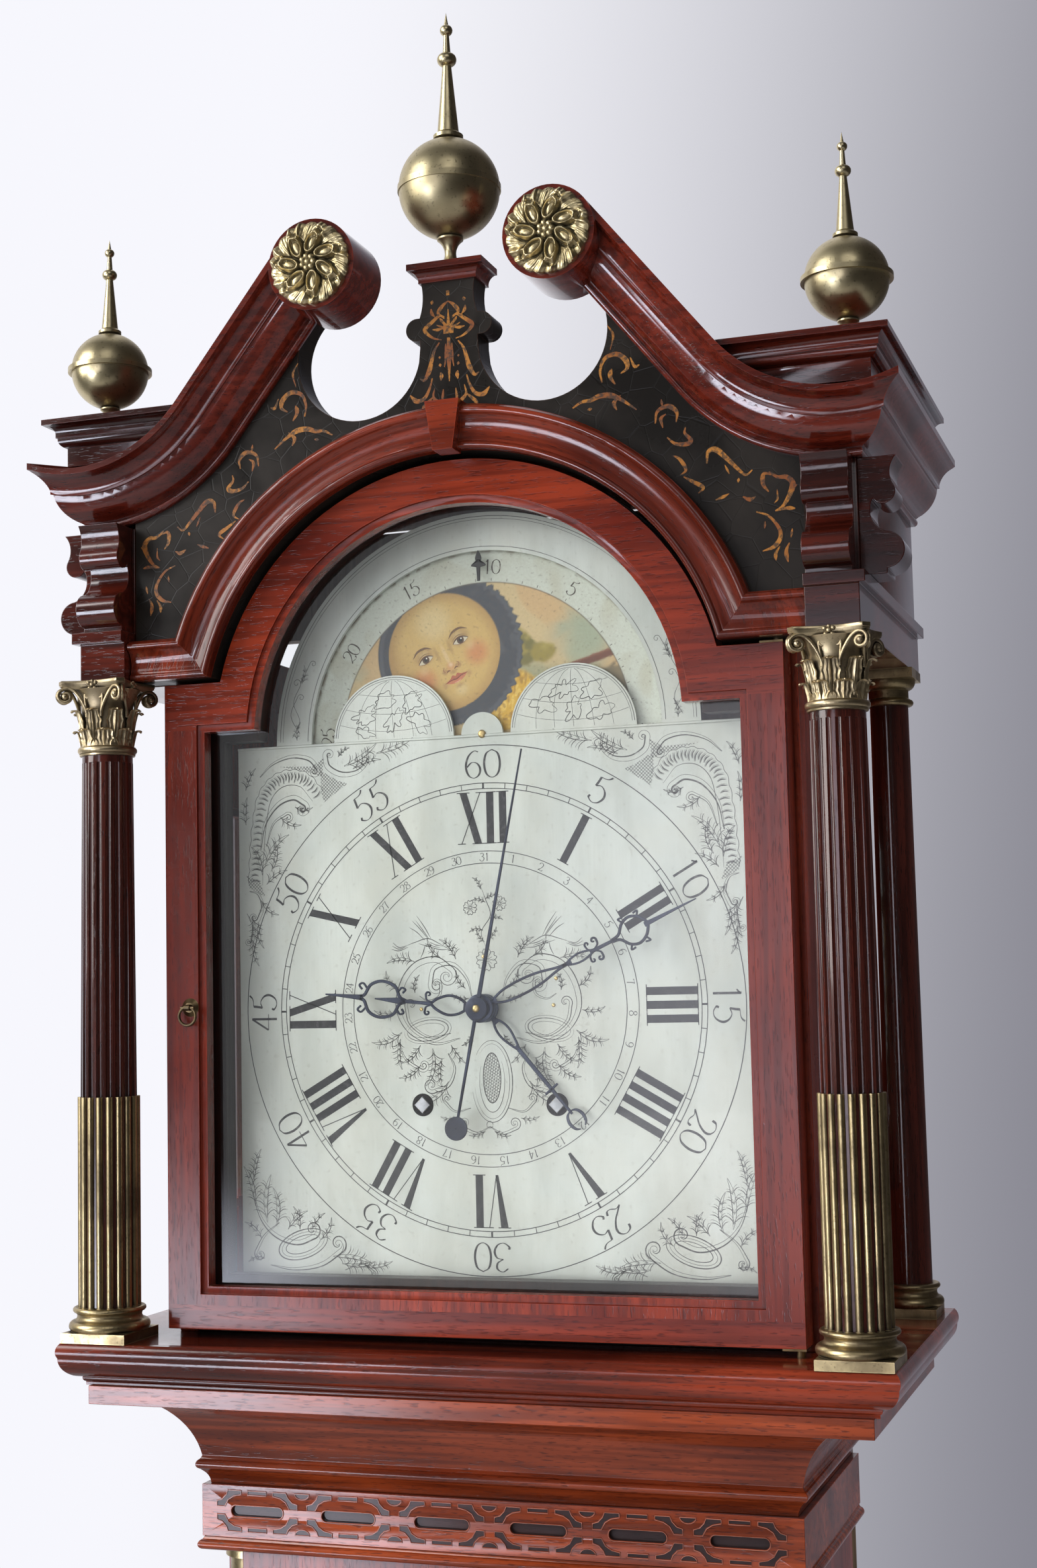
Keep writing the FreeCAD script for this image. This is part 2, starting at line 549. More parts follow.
def corinthian_capitals():
    """Corinthian capitals of the front columns: a bell under a hollow-sided abacus."""
    half = 24.0
    hollow = 19.0
    abacus = bar_z(outline((half, half - 5), (half, half), (half - 5, half),
                           ((0, hollow), (5 - half, half)), (-half, half), (-half, half - 5),
                           ((-hollow, 0), (-half, 5 - half)), (-half, -half), (5 - half, -half),
                           ((0, -hollow), (half - 5, -half)), (half, -half), (half, 5 - half),
                           ((hollow, 0), (half, half - 5))), CAPITAL_TOP - 6, CAPITAL_TOP)
    abacus.translate(Vector(COLUMN_X, COLUMN_Y, 0))
    z = SHAFT_TOP
    bell = turned(outline((0, z), (17, z), ((18.5, z + 2), (17, z + 4)), (15.5, z + 5),
                          ((17, z + 24), (23, CAPITAL_TOP - 6)), (0, CAPITAL_TOP - 6)), COLUMN_X, COLUMN_Y)
    save("corinthian_capitals", *both(fuse(abacus, bell)))


def rear_capitals():
    """Plain turned capitals of the rear columns."""
    z = SHAFT_TOP + 22
    half = 18.0
    rear = fuse(turned(outline((0, z), (14, z), ((15.5, z + 2), (14, z + 4)), (12.6, z + 5), (12.6, z + 10),
                               ((16.5, z + 13), (17, CAPITAL_TOP - 6)), (0, CAPITAL_TOP - 6)),
                       COLUMN_X, REAR_COLUMN_Y),
                box(COLUMN_X - half, COLUMN_X + half, REAR_COLUMN_Y - half, REAR_COLUMN_Y + half,
                    CAPITAL_TOP - 6, CAPITAL_TOP))
    return both(rear)


def entablature():
    """Beams over the columns with their cap moulding, and the side friezes above."""
    x0, x1 = COLUMN_X - BLOCK_HALF, COLUMN_X + BLOCK_HALF
    cap = 4.0
    neck = ENTABLATURE_TOP - 7
    beam = box(HOOD_SIDE_HALF, x1, PEDIMENT_BACK, HOOD_BACK, CAPITAL_TOP, ENTABLATURE_TOP)
    block = box(x0, x1, BLOCK_FRONT, PEDIMENT_BACK, CAPITAL_TOP, neck)
    block_cap = box(x0, x1 + cap, BLOCK_FRONT - cap, PEDIMENT_BACK, neck, ENTABLATURE_TOP)
    side_cap = box(x1, x1 + cap, PEDIMENT_BACK, HOOD_BACK, neck, ENTABLATURE_TOP)
    corner = box(PANEL_HALF + 0.5, FRIEZE_HALF, PEDIMENT_FRONT, PEDIMENT_BACK, ENTABLATURE_TOP, CORNICE_BOTTOM)
    frieze = box(FRIEZE_HALF - HOOD_BOARD, FRIEZE_HALF, PEDIMENT_BACK, HOOD_BACK, ENTABLATURE_TOP,
                 ROOF_BOTTOM)
    side = fuse(beam, block, block_cap, side_cap, corner, frieze)
    save("entablature", *both(side))


def consoles():
    """Scrolled brackets standing on the entablature at each front corner, two to a corner."""
    low, high = ENTABLATURE_TOP, CORNICE_BOTTOM
    section = outline((0, low), (15, low), (15, low + 3), ((25, low + 13), (15, low + 24)),
                      ((7, low + 32), (8, low + 43)), ((18, low + 41), (20, low + 50)),
                      (19, low + 52), ((18, low + 58), (22, high)), (0, high))
    x0, x1 = COLUMN_X - BLOCK_HALF + 1, COLUMN_X + BLOCK_HALF - 3
    front = face(section, lambda a, b: Vector(x0, PEDIMENT_FRONT - a, b)).extrude(Vector(x1 - x0, 0, 0))
    y0, y1 = PEDIMENT_FRONT + 2, PEDIMENT_FRONT + 30
    side = face(section, lambda a, b: Vector(FRIEZE_HALF + a, y0, b)).extrude(Vector(0, y1 - y0, 0))
    save("console_brackets", *(both(front) + both(side)))


SWAN_SLOPE = math.asin((SWAN_R_TOP + ROUNDEL_R) / math.hypot(SWAN_X - ROUNDEL_X, ROUNDEL_Z - SWAN_Z))
SWAN_SLOPE += math.atan2(ROUNDEL_Z - SWAN_Z, SWAN_X - ROUNDEL_X)


def cornice_section():
    """Shared section of the swan necks and their returns: (width from the inner edge, depth out)."""
    w, d = SWAN_WIDTH, CORNICE_OUT
    return outline((0, 0), (0, 2.5), ((2, 4.5), (4, 3.5)), (5, 5),
                   ((10.5, 13.5), (20, d - 12)), (20, d - 10.5), (22, d - 10.5),
                   ((27, d - 7.5), (30.5, d - 2)), (31.5, d), (w, d), (w, 0))


def swan_neck():
    """The right-hand swan neck: lower sweep, straight and roundel."""
    def place(angle, along=0.0):
        c, s = math.cos(angle), math.sin(angle)

        def put(width, depth):
            r = SWAN_R_TOP + SWAN_WIDTH - width
            return Vector(SWAN_X - r * s - along * c, PEDIMENT_FRONT - depth, SWAN_Z - r * c + along * s)
        return put
    start = -math.radians(32)
    sweep = face(cornice_section(), place(start)).revolve(
        Vector(SWAN_X, 0, SWAN_Z), Y_AXIS, math.degrees(SWAN_SLOPE - start))
    run = (SWAN_X - ROUNDEL_X) * math.cos(SWAN_SLOPE) + (ROUNDEL_Z - SWAN_Z) * math.sin(SWAN_SLOPE)
    straight = face(cornice_section(), place(SWAN_SLOPE)).extrude(
        Vector(-run * math.cos(SWAN_SLOPE), 0, run * math.sin(SWAN_SLOPE)))
    roundel = rod_y(ROUNDEL_X, ROUNDEL_Z, ROUNDEL_R, ROUNDEL_FRONT, ROUNDEL_BACK)
    front = fuse(sweep, straight)
    span = 200.0
    mitre = bar_z(outline((FRIEZE_HALF - span, PEDIMENT_FRONT + span), (FRIEZE_HALF + span, PEDIMENT_FRONT - span),
                          (-300, PEDIMENT_FRONT - span), (-300, PEDIMENT_FRONT + span)), 0, 600)
    front = fuse(front.common(mitre), roundel)
    stretch = (CORNICE_TOP - CORNICE_BOTTOM) / SWAN_WIDTH
    section = face(cornice_section(), lambda w, d: Vector(FRIEZE_HALF + d, PEDIMENT_FRONT - span,
                                                         CORNICE_BOTTOM + w * stretch))
    side = section.extrude(Vector(0, HOOD_BACK - PEDIMENT_FRONT + span, 0))
    side_wedge = bar_z(outline((FRIEZE_HALF - 1, PEDIMENT_FRONT + 1), (FRIEZE_HALF + span, PEDIMENT_FRONT - span),
                               (FRIEZE_HALF + span, HOOD_BACK), (FRIEZE_HALF - 1, HOOD_BACK)), 0, 600)
    return front, side.common(side_wedge)


def pediment_region(grow):
    """Everything under the outer edge of the pediment's right half, as an X-Z outline."""
    c, s = math.cos(SWAN_SLOPE), math.sin(SWAN_SLOPE)
    r = SWAN_R_TOP + grow
    half = SWAN_SLOPE / 2
    end = (SWAN_X - r * s, SWAN_Z - r * c)
    mid = (SWAN_X - r * math.sin(half), SWAN_Z - r * math.cos(half))
    run = (SWAN_X - ROUNDEL_X) * c + (ROUNDEL_Z - SWAN_Z) * s
    top = (end[0] - run * c, end[1] + run * s)
    return (SWAN_X, SWAN_Z - r), mid, end, top


def swan_necks():
    front, side = swan_neck()
    save("pediment_mouldings", *(both(front) + both(side)))


def tympanum():
    """Pediment board: arched below, two round cut-outs, and the finial's pedestal between them."""
    low, mid, end, top = pediment_region(SWAN_WIDTH * 0.5)
    right = plate_y(outline((0, ARCHITRAVE_FOOT), (PANEL_HALF, ARCHITRAVE_FOOT),
                            (PANEL_HALF, low[1]), (low[0] - (SWAN_X - PANEL_HALF), low[1]),
                            (mid, end), top, (ROUNDEL_X, ROUNDEL_Z - ROUNDEL_R), (ROUNDEL_X - 22, ROUNDEL_Z - 40),
                            (0, ROUNDEL_Z - 40)),
                    PEDIMENT_FRONT, PEDIMENT_BACK)
    opening = rod_y(0, DIAL_TOP, ARCHITRAVE_IN, PEDIMENT_FRONT - 1, PEDIMENT_BACK + 1)
    cutout = rod_y(CUTOUT_X, CUTOUT_Z, CUTOUT_R, PEDIMENT_FRONT - 1, PEDIMENT_BACK + 1)
    above = box(0, CUTOUT_X + 8, PEDIMENT_FRONT - 1, PEDIMENT_BACK + 1, CUTOUT_Z, 600)
    roundel = rod_y(ROUNDEL_X, ROUNDEL_Z, ROUNDEL_R + 0.02, PEDIMENT_FRONT - 1, ROUNDEL_BACK)
    right = right.cut(opening).cut(cutout).cut(above).cut(roundel)
    neck, lobe, waist = 18.6, 7.0, 16.4
    lobe_z = CUTOUT_Z + 11.5
    pedestal = plate_y(outline((0, CUTOUT_Z - 15), (neck + 1.5, CUTOUT_Z - 15), (neck, CUTOUT_Z),
                               (neck, lobe_z - lobe), (neck + 2, lobe_z - lobe),
                               ((neck + 2 + lobe, lobe_z), (neck + 2, lobe_z + lobe)),
                               (neck, lobe_z + lobe), ((waist, lobe_z + 18), (waist + 0.8, PEDESTAL_TOP)),
                               (0, PEDESTAL_TOP)),
                       PEDIMENT_FRONT, PEDIMENT_BACK)
    save("tympanum", pivot_holes(fuse(right, mirrored(right), pedestal, mirrored(pedestal))))


def architrave_section():
    """Section of the arch moulding: (out from the inner edge, depth in front of the pediment)."""
    w = ARCHITRAVE_OUT - ARCHITRAVE_IN
    return outline((0, 0), (0, 5), ((2, 8), (4.5, 6.5)), (6, 6.5), ((13, 6.2), (w - 7, 9)),
                   (w - 6, 10), ((w - 3.5, 12), (w - 1, 10)), (w, 9), (w, 0))


def arch_moulding():
    """Moulding round the arch and along its level feet, mitred where they meet, and its keystone."""
    foot_width = ARCHITRAVE_FOOT_TOP - ARCHITRAVE_FOOT
    arch = face(architrave_section(), lambda a, b: Vector(ARCHITRAVE_IN + a, PEDIMENT_FRONT - b, DIAL_TOP))
    arch = arch.revolve(Vector(0, 0, DIAL_TOP), Y_AXIS, -90)
    scale = foot_width / (ARCHITRAVE_OUT - ARCHITRAVE_IN)
    foot = face(architrave_section(), lambda a, b: Vector(140, PEDIMENT_FRONT - b, ARCHITRAVE_FOOT + a * scale))
    foot = foot.extrude(Vector(PANEL_HALF - 140, 0, 0))
    inner_x = math.sqrt(ARCHITRAVE_IN ** 2 - (ARCHITRAVE_FOOT - DIAL_TOP) ** 2)
    outer_x = math.sqrt(ARCHITRAVE_OUT ** 2 - (ARCHITRAVE_FOOT_TOP - DIAL_TOP) ** 2)
    slope = foot_width / (outer_x - inner_x)
    reach = 120.0
    line = ((inner_x - reach, ARCHITRAVE_FOOT - reach * slope), (inner_x + reach, ARCHITRAVE_FOOT + reach * slope))
    below_mitre = plate_y(outline(line[0], (400, line[0][1]), (400, line[1][1]), line[1]), -100, 0)
    key = plate_y(outline((-6.3, DIAL_TOP + ARCHITRAVE_IN - 2), (6.3, DIAL_TOP + ARCHITRAVE_IN - 2),
                          (10.8, DIAL_TOP + ARCHITRAVE_OUT + 2), (-10.8, DIAL_TOP + ARCHITRAVE_OUT + 2)),
                  PEDIMENT_FRONT - 15, PEDIMENT_FRONT)
    halves = both(arch.cut(below_mitre).cut(key)) + both(foot.common(below_mitre))
    save("arch_moulding", key, *halves)


def rosettes():
    """Cast brass paterae on the roundels: a dished disc with a raised centre."""
    front = ROUNDEL_FRONT - ROSETTE_THICK
    disc = turned_y(outline((0, front), (6, front + 0.5), ((9, front + 3), (13, front + 2)),
                            ((21, front + 1), (ROSETTE_R, ROUNDEL_FRONT - 1.5)), (ROSETTE_R, ROUNDEL_FRONT),
                            (0, ROUNDEL_FRONT)), ROUNDEL_X, ROUNDEL_Z)
    save("rosettes", *both(disc))


def box_cornice():
    """Section of the corner boxes' cornice: (out from the box, Z)."""
    top = PLINTH_BOX_TOP
    return outline((-14, top - 17), (0, top - 17), ((3.5, top - 15), (4.5, top - 11)), (5.5, top - 11),
                   (5.5, top - 9), ((7.5, top - 4.5), (11, top - 3.5)), (12, top - 3.5), (12, top), (-14, top))


def hood_roof():
    """Roof board, corner boxes behind the swan necks, their cornice, and the pedestal's cap."""
    low, mid, end, top = pediment_region(-0.2)
    tip = 300.0
    under = plate_y(outline((0, 0), (tip, 0), (tip, CORNICE_TOP + 0.1), (SWAN_X + 33.0, CORNICE_TOP + 0.1),
                            ((SWAN_X + 16.5, SWAN_Z - math.sqrt(SWAN_R_TOP ** 2 - 16.5 ** 2) + 0.2), low),
                            (mid, end), top, (0, top[1])), -120, PEDIMENT_BACK)
    board = box(-FRIEZE_HALF, FRIEZE_HALF, PEDIMENT_BACK, HOOD_BACK, ROOF_BOTTOM, CORNICE_TOP)
    body = box(PLINTH_BOX_INNER, PLINTH_BOX_HALF, PLINTH_BOX_FRONT, HOOD_BACK, CORNICE_TOP,
               PLINTH_BOX_TOP - 17).cut(under)
    moulding = three_sides(box_cornice(), PLINTH_BOX_HALF, PLINTH_BOX_FRONT, HOOD_BACK)
    lid = box(PLINTH_BOX_INNER, PLINTH_BOX_HALF - 14, PLINTH_BOX_FRONT + 14, HOOD_BACK,
              PLINTH_BOX_TOP - 17, PLINTH_BOX_TOP)
    right = moulding.common(box(PLINTH_BOX_INNER, 400, -200, 300, 0, 600))
    lid = fuse(right, lid).cut(under)
    cap_half = 17.2
    cap = outline((0, PEDESTAL_TOP), (1.5, PEDESTAL_TOP), ((2.4, PEDESTAL_TOP + 4.6), (5.5, PEDESTAL_CAP_TOP - 4)),
                  (7, PEDESTAL_CAP_TOP - 4), (7, PEDESTAL_CAP_TOP), (-cap_half, PEDESTAL_CAP_TOP),
                  (-cap_half, PEDESTAL_TOP))
    cap_run = three_sides(cap, cap_half, PEDIMENT_FRONT, PEDIMENT_BACK + 2)
    save("hood_roof", board, *(both(body) + both(lid) + [cap_run]))


def finial(x, y, z, ball_r, total, flange):
    """Turned brass ball and spire: a flared neck, a ball with a girdle, and a knopped spire."""
    k = ball_r / 31.0
    ball_z = z + 18 * k + ball_r * 0.97
    low = ball_z - ball_r * 0.985
    girdle = ball_r + flange
    wide = 1.8 * k
    top = z + total
    neck = ball_z + ball_r * 0.985
    spire = (top - neck)
    near = math.sqrt(ball_r ** 2 - wide ** 2)
    arc_low = (ball_r * 0.72, ball_z - ball_r * 0.694)
    arc_high = (ball_r * 0.72, ball_z + ball_r * 0.694)
    edge = outline((0, z), (7.5 * k, z), ((4.2 * k, z + 4 * k), (3.6 * k, z + 9 * k)),
                   ((5 * k, z + 13 * k), (8 * k, z + 16 * k)), (8 * k, z + 17 * k),
                   (ball_r * 0.172, low), (arc_low, (near, ball_z - wide)),
                   (girdle, ball_z - wide), (girdle, ball_z + wide), (near, ball_z + wide),
                   (arc_high, (ball_r * 0.172, neck)), (9.2 * k, neck + 1 * k), (9.2 * k, neck + 3 * k),
                   (6.6 * k, neck + 5 * k), (2.7 * k, neck + spire * 0.58),
                   ((6 * k, neck + spire * 0.63), (2.4 * k, neck + spire * 0.68)),
                   (1.7 * k, neck + spire * 0.82), ((3.9 * k, neck + spire * 0.86), (1.4 * k, neck + spire * 0.9)),
                   (0, top))
    return turned(edge, x, y)


def finials():
    middle = finial(0, (PEDIMENT_FRONT + PEDIMENT_BACK) / 2 - 4, PEDESTAL_CAP_TOP, 31.0, 160.0, 0.6)
    side = finial(239.0, -31.0, PLINTH_BOX_TOP, 24.5, 125.5, 2.2)
    save("finials", middle, *both(side))


PIVOT_X, PIVOT_Y = DOOR_HALF - 3.5, DOOR_FRONT + 3.5
PIVOT_R = 2.5
PIVOT_REACH = 10.0          # how far each pivot stands out of the door
PULL_X, PULL_Z = -180.0, 4.0


def hood_door():
    frame = arched(DOOR_HALF, DOOR_BOTTOM, DOOR_SHOULDER, DOOR_ARCH_R, DOOR_FRONT, DOOR_BACK)
    sight = arched(SIGHT_HALF, SIGHT_BOTTOM, SIGHT_SHOULDER, SIGHT_ARCH_R, DOOR_FRONT - 1, DOOR_BACK + 1)
    bead_back = DOOR_FRONT + 5
    rebate = arched(SIGHT_HALF + BEAD, SIGHT_BOTTOM - BEAD, SIGHT_SHOULDER + BEAD, SIGHT_ARCH_R + BEAD,
                    bead_back + 6, DOOR_BACK + 1)
    step = arched(SIGHT_HALF + BEAD, SIGHT_BOTTOM - BEAD, SIGHT_SHOULDER + BEAD, SIGHT_ARCH_R + BEAD,
                  DOOR_FRONT - 1, DOOR_FRONT + 2)
    pivots = []
    for end, way in ((DOOR_BOTTOM, -1), (DOOR_SHOULDER, 1)):
        low, high = sorted((end - 12 * way, end + PIVOT_REACH * way))
        pin = rod_z(PIVOT_X, PIVOT_Y, PIVOT_R, low, high)
        frame = frame.cut(rod_z(PIVOT_X, PIVOT_Y, PIVOT_R, end - 12, end + 12))
        low, high = sorted((end, end + 1.2 * way))
        pivots.append(fuse(pin, box(PIVOT_X - 10, DOOR_HALF, DOOR_FRONT, DOOR_FRONT + 11, low, high)))
    frame = frame.cut(sight).cut(rebate).cut(step)
    glass = arched(SIGHT_HALF + BEAD - 0.4, SIGHT_BOTTOM - BEAD, SIGHT_SHOULDER + BEAD - 0.4,
                   SIGHT_ARCH_R + BEAD - 0.4, bead_back + 6, bead_back + 6 + GLASS)
    save("hood_door_frame", frame)
    save("hood_door_glass", glass)
    save("hood_door_brasses", pull_rose(), *pivots)


def pivot_holes(shape):
    """Cut the holes that the hood door's pivots turn in, in the ledge and in the pediment board."""
    low = rod_z(PIVOT_X, PIVOT_Y, PIVOT_R + RUNNING, DOOR_BOTTOM - PIVOT_REACH - 1, LEDGE_TOP + 1)
    high = rod_z(PIVOT_X, PIVOT_Y, PIVOT_R + RUNNING, ARCHITRAVE_FOOT - 1, DOOR_SHOULDER + PIVOT_REACH + 1)
    return shape.cut(low).cut(high)


def pull_rose():
    """Round rose of the door pull, with the ear that carries its ring."""
    front = DOOR_FRONT
    rose = turned_y(outline((0, front - 2.2), (3, front - 2), (5.7, front), (0, front)), PULL_X, PULL_Z)
    eye_y = front - 4.4
    ear = fuse(box(PULL_X - 1.8, PULL_X + 1.8, eye_y, front - 0.5, PULL_Z - 1.8, PULL_Z + 1.8),
               rod_x(eye_y, PULL_Z, 1.8, PULL_X - 1.8, PULL_X + 1.8))
    hole = rod_x(eye_y, PULL_Z, PULL_WIRE + RUNNING, PULL_X - 6, PULL_X + 6)
    return fuse(rose, ear).cut(hole)


def door_pull_ring():
    """Antique drop ring hanging in the rose's ear."""
    eye_y = DOOR_FRONT - 4.4
    pin = rod_x(eye_y, PULL_Z, PULL_WIRE, PULL_X - 4.5, PULL_X + 4.5)
    ring_r = 5.6
    drop = PULL_Z - 5.2
    ring = Part.makeTorus(ring_r, PULL_WIRE, Vector(PULL_X, eye_y, drop), Y_AXIS)
    gap = box(PULL_X - 2.6, PULL_X + 2.6, eye_y - 3, eye_y + 3, PULL_Z - 2.2, PULL_Z + 3)
    save("door_pull_ring", fuse(ring.cut(gap), pin))


PULL_WIRE = 0.9


# ---------------------------------------------------------------- dial and hands
def dial_plate():
    plate = arched(DIAL_HALF, DIAL_BOTTOM, DIAL_TOP, DIAL_ARCH_R, 0, DIAL_PLATE)
    window = rod_y(0, DIAL_TOP, MOON_WINDOW_R, -1, DIAL_PLATE + 1)
    window = window.common(box(-200, 200, -1, DIAL_PLATE + 1, DIAL_TOP, 400))
    for x, r in ((-HEMISPHERE_X, HEMISPHERE_R), (HEMISPHERE_X, HEMISPHERE_R), (0, DIAL_BOSS_R)):
        window = window.cut(rod_y(x, DIAL_TOP, r, -1, DIAL_PLATE + 1))
    plate = plate.cut(window).cut(rod_y(0, 0, CENTRE_HOLE_R, -1, DIAL_PLATE + 1))
    for x in (-WINDING_X, WINDING_X):
        plate = plate.cut(rod_y(x, WINDING_Z, WINDING_HOLE_R, -1, DIAL_PLATE + 1))
    feet = [rod_y(x, z, 3.0, DIAL_PLATE, FRONT_PLATE) for x in (-66, 66) for z in (62, -84)]
    arbor = rod_y(0, DIAL_TOP, 3.0, DIAL_PLATE, MOON_BACK + 2)
    save("dial_plate", fuse(plate, arbor, *feet))


MOON_DISC_R = 117.5
MOON_FRONT, MOON_BACK = 4.5, 6.0


def moon_disc():
    disc = rod_y(0, DIAL_TOP, MOON_DISC_R, MOON_FRONT, MOON_BACK)
    hub = rod_y(0, DIAL_TOP, 8.0, MOON_BACK, MOON_BACK + 2)
    hole = rod_y(0, DIAL_TOP, 3.0 + RUNNING, 0, MOON_BACK + 3)
    save("moon_disc", fuse(disc, hub).cut(hole))


SECONDS_ARBOR, CANNON_R, HOUR_PIPE_R, CALENDAR_PIPE_R = 1.0, 2.2, 3.4, 4.8
HOUR_ANGLE, MINUTE_ANGLE, SECOND_ANGLE, CALENDAR_ANGLE = 275.8, 65.6, 11.6, 139.6


def swung(shape, degrees):
    """Turn a hand drawn at twelve clockwise to its place."""
    return shape.rotate(Vector(0, 0, 0), Y_AXIS, degrees)


def blade(width, tip_width, r0, r1, y0, y1):
    return plate_y(outline((-width / 2, r0), (width / 2, r0), (tip_width / 2, r1), (-tip_width / 2, r1)), y0, y1)


def eye(z, outer, inner, y0, y1):
    """Flat ring in a hand's blade."""
    return rod_y(0, z, outer, y0, y1), rod_y(0, z, inner, y0 - 1, y1 + 1)


def hands():
    calendar_y, hour_y, minute_y, seconds_y = -6.0, -10.0, -15.0, -20.0
    thick = 1.2
    pipe = rod_y(0, 0, CALENDAR_PIPE_R, calendar_y, 12.0)
    hub = rod_y(0, 0, 8.0, calendar_y, calendar_y + thick)
    hole = rod_y(0, 0, HOUR_PIPE_R + RUNNING, -40, 40)
    tip = rod_y(0, 88, 5.2, calendar_y, calendar_y + thick).cut(rod_y(0, 91, 3.6, -10, 2))
    bar = box(-5, 5, calendar_y, calendar_y + thick, 63, 64.6)
    arm = blade(4.5, 1.6, 0, 85, calendar_y, calendar_y + thick)
    save("calendar_hand", swung(fuse(hub, pipe, arm, bar, tip).cut(hole), CALENDAR_ANGLE))

    ring, hollow = eye(66, 11.5, 9.3, hour_y, hour_y + thick)
    loop, loop_hole = eye(20, 6.0, 4.6, hour_y, hour_y + thick)
    arm = fuse(blade(6, 2.4, 0, 56, hour_y, hour_y + thick), ring, loop).cut(hollow).cut(loop_hole)
    point = blade(4.0, 0.8, 76, 103, hour_y, hour_y + thick)
    hub = rod_y(0, 0, 9.0, hour_y, hour_y + thick)
    hour = fuse(arm, point, hub, rod_y(0, 0, HOUR_PIPE_R, hour_y, HOUR_WHEEL_Y))
    save("hour_hand", swung(hour.cut(rod_y(0, 0, CANNON_R + RUNNING, -40, 40)), HOUR_ANGLE))

    ring, hollow = eye(107, 8.2, 6.3, minute_y, minute_y + thick)
    arm = fuse(blade(5, 2.0, 0, 100, minute_y, minute_y + thick), ring).cut(hollow)
    point = blade(3.0, 0.8, 114.5, 148.5, minute_y, minute_y + thick)
    hub = rod_y(0, 0, 8.5, minute_y, minute_y + thick)
    pipe = rod_y(0, 0, CANNON_R, minute_y - 2, FRONT_PLATE - 0.5)
    minute = fuse(arm, point, hub, pipe).cut(rod_y(0, 0, SECONDS_ARBOR + RUNNING, -40, 60))
    save("minute_hand", swung(minute, MINUTE_ANGLE))

    arm = blade(3.0, 1.0, 0, 157.5, seconds_y, seconds_y + thick)
    tail = plate_y(outline((-1.2, 0), (1.2, 0), (0.8, -68), (-0.8, -68)), seconds_y, seconds_y + thick)
    weight = rod_y(0, -72.5, 7.2, seconds_y, seconds_y + thick)
    hub = rod_y(0, 0, 7.0, seconds_y - 1, seconds_y + thick + 0.8)
    seconds = fuse(arm, tail, weight, hub).cut(rod_y(0, 0, SECONDS_ARBOR, seconds_y - 0.5, 0))
    save("seconds_hand", swung(seconds, SECOND_ANGLE))


HOUR_WHEEL_Y = 30.0


# ---------------------------------------------------------------- gears
WHEEL_TOOTH = (0.75, 1.35, 0.72, 0.45)      # addendum, dedendum, thickness, tip share
PINION_TOOTH = (0.55, 1.35, 0.62, 0.5)


def gear(teeth, module, centre, phase, y0, y1, form=WHEEL_TOOTH):
    """Straight-flanked gear; phase is the angle of one tooth, measured from X towards Z."""
    addendum, dedendum, thickness, tip = form
    pitch_r = teeth * module / 2
    half = thickness * math.pi * module / 4 / pitch_r
    pitch = 2 * math.pi / teeth
    root = min(half * 1.25, pitch * 0.45)
    points = []
    for index in range(teeth):
        middle = phase + index * pitch
        for r, angle in ((pitch_r - dedendum * module, -root), (pitch_r, -half),
                         (pitch_r + addendum * module, -half * tip), (pitch_r + addendum * module, half * tip),
                         (pitch_r, half), (pitch_r - dedendum * module, root)):
            points.append(Vector(centre[0] + r * math.cos(middle + angle), y0,
                                 centre[1] + r * math.sin(middle + angle)))
    wire = Part.makePolygon(points + [points[0]])
    return Part.Face(wire).extrude(Vector(0, y1 - y0, 0))


def crossed_out(wheel, centre, inner, outer, y0, y1, spokes=4):
    """Cut the windows between the spokes of a wheel."""
    for index in range(spokes):
        turn = 360.0 / spokes * index
        sector = turned_y(outline((inner, y0 - 1), (outer, y0 - 1), (outer, y1 + 1), (inner, y1 + 1)), *centre)
        keep = math.radians(90.0 / spokes * 4 - 26)
        wedge = plate_y(outline((0, 0), (60 * math.cos(0.23), 60 * math.sin(0.23)),
                                (60 * math.cos(0.23 + keep), 60 * math.sin(0.23 + keep))), y0 - 1, y1 + 1)
        wedge.translate(Vector(centre[0], 0, centre[1]))
        window = sector.common(wedge.rotate(Vector(centre[0], 0, centre[1]), Y_AXIS, turn))
        wheel = wheel.cut(window)
    return wheel


def angle_to(a, b):
    return math.atan2(b[1] - a[1], b[0] - a[0])


def meshed(phase, teeth, other_teeth, a, b):
    """Tooth phase of the gear at b that is in mesh with the one at a."""
    line = angle_to(a, b)
    offset = (phase - line) % (2 * math.pi / teeth)
    return line + math.pi + math.pi / other_teeth - offset * teeth / other_teeth


def beside(a, ra, b, rb, side):
    """Point at distance ra from a and rb from b, on the given side of the line from a to b."""
    gap = math.hypot(b[0] - a[0], b[1] - a[1])
    along = (ra * ra - rb * rb + gap * gap) / (2 * gap)
    off = math.sqrt(ra * ra - along * along) * side
    ux, uz = (b[0] - a[0]) / gap, (b[1] - a[1]) / gap
    return a[0] + along * ux - off * uz, a[1] + along * uz + off * ux


GREAT_DISTANCE = (GREAT_TEETH + CENTRE_PINION) * GREAT_MODULE / 2
CENTRE_DISTANCE = (CENTRE_TEETH + THIRD_PINION) * CENTRE_MODULE / 2
THIRD_DISTANCE = (THIRD_TEETH + ESCAPE_PINION) * THIRD_MODULE / 2
MOTION_DISTANCE = MOTION_TEETH * MOTION_MODULE

